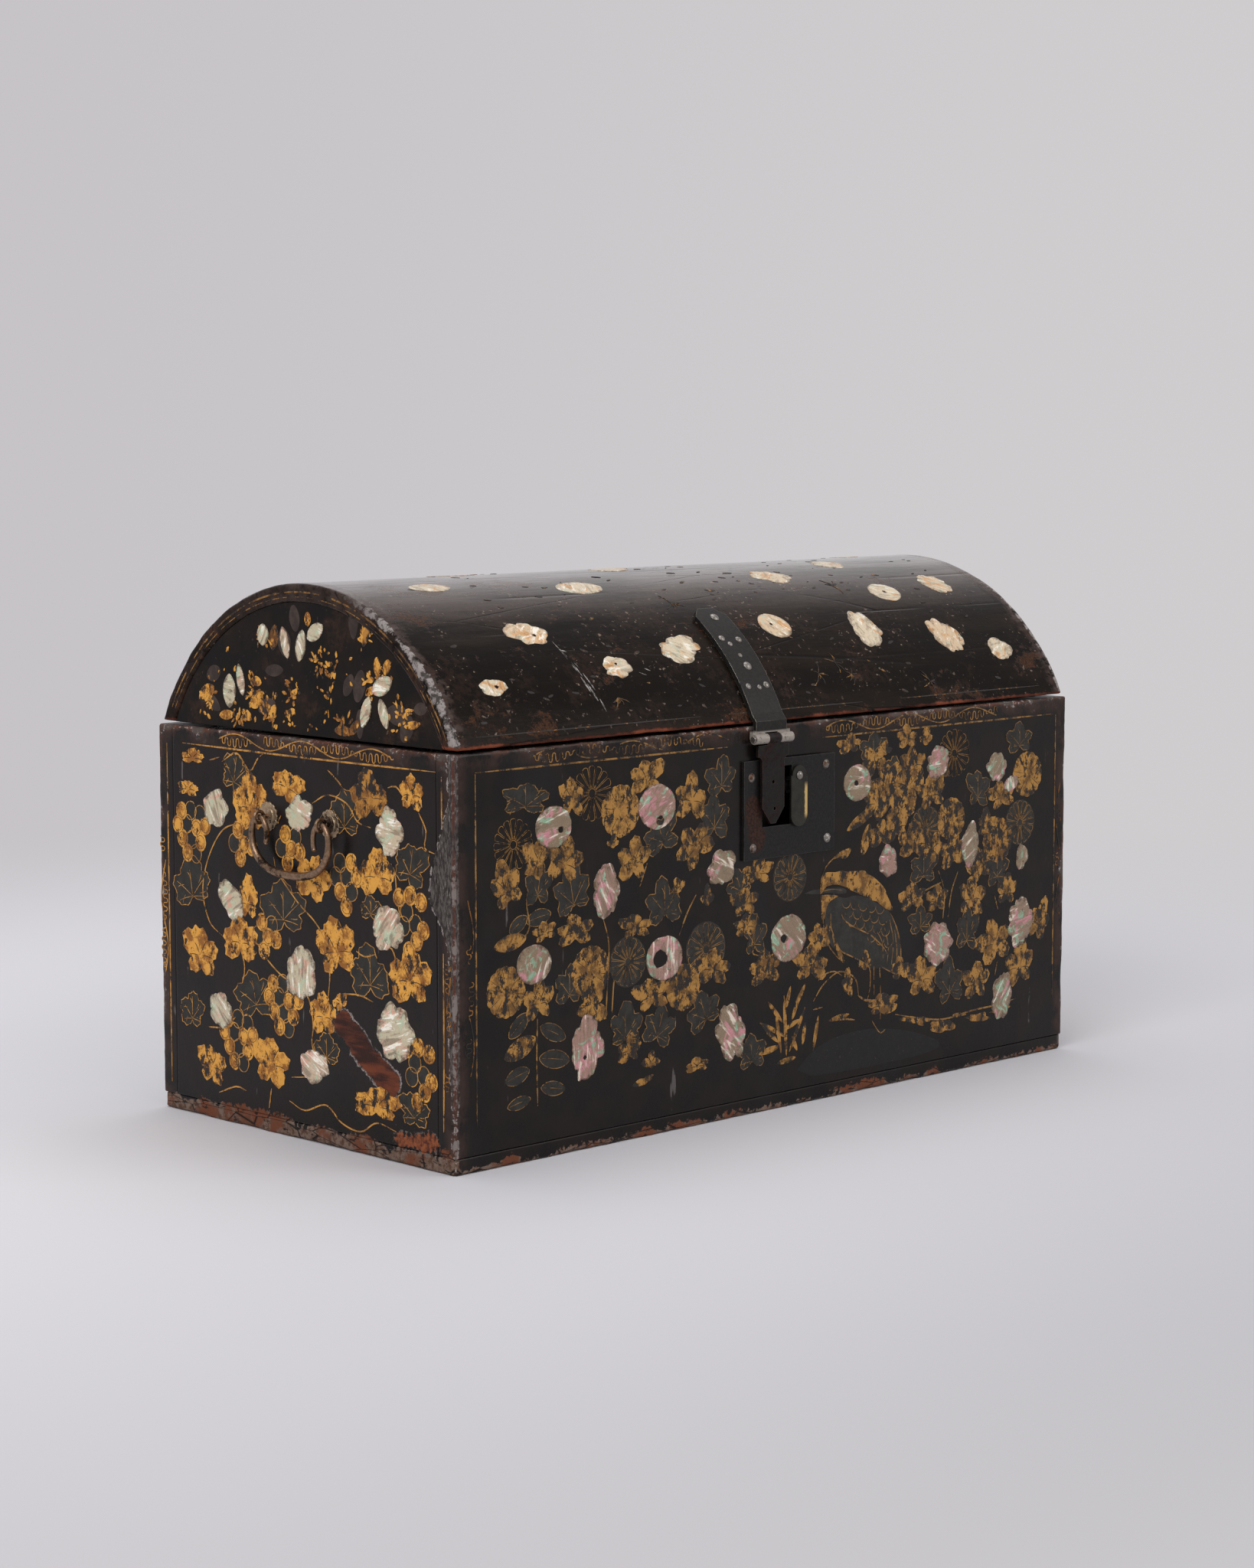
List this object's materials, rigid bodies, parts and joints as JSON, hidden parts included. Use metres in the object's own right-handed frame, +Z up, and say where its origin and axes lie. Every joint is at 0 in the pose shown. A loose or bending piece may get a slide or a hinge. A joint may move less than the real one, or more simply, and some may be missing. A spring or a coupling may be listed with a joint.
{
  "type": "lacquer coffer",
  "caption": "Barrel-lidded wooden coffer in black lacquer with gold vines and shell inlay, hinged lid, hasp, lock plate and swinging end handles.",
  "frame": {"origin": "middle of the underside of the bottom board, on the surface that the coffer stands on", "axes": "+X along the front to the right, -Y out of the front with the lock, +Z up"},
  "size_m": [0.4694, 0.237, 0.2712],
  "materials": {
    "lacquer": "worn black lacquer over a coated board, semi-gloss, painted in gold",
    "plain_lacquer": "worn plain black lacquer, semi-gloss",
    "bare_wood": "bare aged softwood, matt",
    "black_iron": "blackened iron, satin, worn at the edges",
    "rusty_iron": "dark red-brown rusted iron, matt",
    "worn_iron": "iron worn bright by handling",
    "dark_copper": "dark patinated copper wire",
    "gilt_copper": "worn gilt copper",
    "shell": "polished mother-of-pearl with a soft pink and green play of colour"
  },
  "bodies": {
    "carcase": {"bottom_board": "bare_wood", "front_board": "lacquer", "back_board": "plain_lacquer", "left_end_board": "lacquer", "right_end_board": "lacquer", "carcase_pegs": "bare_wood", "left_bail_eyes": "dark_copper", "left_bail_rosettes": "gilt_copper", "right_bail_eyes": "dark_copper", "right_bail_rosettes": "gilt_copper", "lock_plate": "black_iron", "lock_plate_nails": "black_iron", "lock_plate_screw": "black_iron", "bolt_guides": "black_iron", "lock_spring": "worn_iron", "keyhole_rivet": "worn_iron", "left_hinge_lower": "black_iron", "left_hinge_pin": "worn_iron", "right_hinge_lower": "black_iron", "right_hinge_pin": "worn_iron", "lower_hinge_nails": "worn_iron", "front_shells": "shell", "left_end_shells": "shell", "right_end_shells": "shell"},
    "lid": {"lid_left_end": "lacquer", "lid_right_end": "lacquer", "lid_pegs": "bare_wood", "lid_stave_1": "lacquer", "lid_stave_2": "lacquer", "lid_stave_3": "lacquer", "lid_stave_4": "lacquer", "lid_stave_5": "lacquer", "lid_stave_6": "lacquer", "lid_stave_7": "lacquer", "lid_stave_8": "lacquer", "lid_stave_9": "lacquer", "hasp_strap": "black_iron", "strap_nails": "worn_iron", "hasp_pin": "worn_iron", "left_hinge_upper": "black_iron", "right_hinge_upper": "black_iron", "upper_hinge_nails": "worn_iron", "barrel_shells": "shell", "lid_left_shells": "shell", "lid_right_shells": "shell"},
    "hasp_leaf": {"hasp_leaf": "rusty_iron"},
    "keyhole_cover": {"keyhole_cover": "black_iron"},
    "lock_bolt": {"lock_bolt": "worn_iron"},
    "left_bail": {"left_bail": "dark_copper"},
    "right_bail": {"right_bail": "dark_copper"}
  },
  "joints": [
    {"name": "lid_hinge", "type": "hinge", "parent": "carcase", "child": "lid", "pos_m": [0, 0.1157, 0.19725], "axis": [-1, 0, 0], "range_deg": [0, 105]},
    {"name": "hasp_swing", "type": "hinge", "parent": "lid", "child": "hasp_leaf", "pos_m": [-0.015, -0.1155, 0.1903], "axis": [-1, 0, 0], "range_deg": [0, 160]},
    {"name": "cover_swing", "type": "hinge", "parent": "carcase", "child": "keyhole_cover", "pos_m": [0.0055, -0.1145, 0.17], "axis": [0, -1, 0], "range_deg": [0, 75]},
    {"name": "bolt_slide", "type": "slide", "parent": "carcase", "child": "lock_bolt", "axis": [-1, 0, 0], "range_m": [0, 0.014]},
    {"name": "left_bail_swing", "type": "hinge", "parent": "carcase", "child": "left_bail", "pos_m": [-0.231, 0, 0.157], "axis": [0, 1, 0], "range_deg": [-7, 170]},
    {"name": "right_bail_swing", "type": "hinge", "parent": "carcase", "child": "right_bail", "pos_m": [0.231, 0, 0.157], "axis": [0, -1, 0], "range_deg": [-7, 170]}
  ]
}
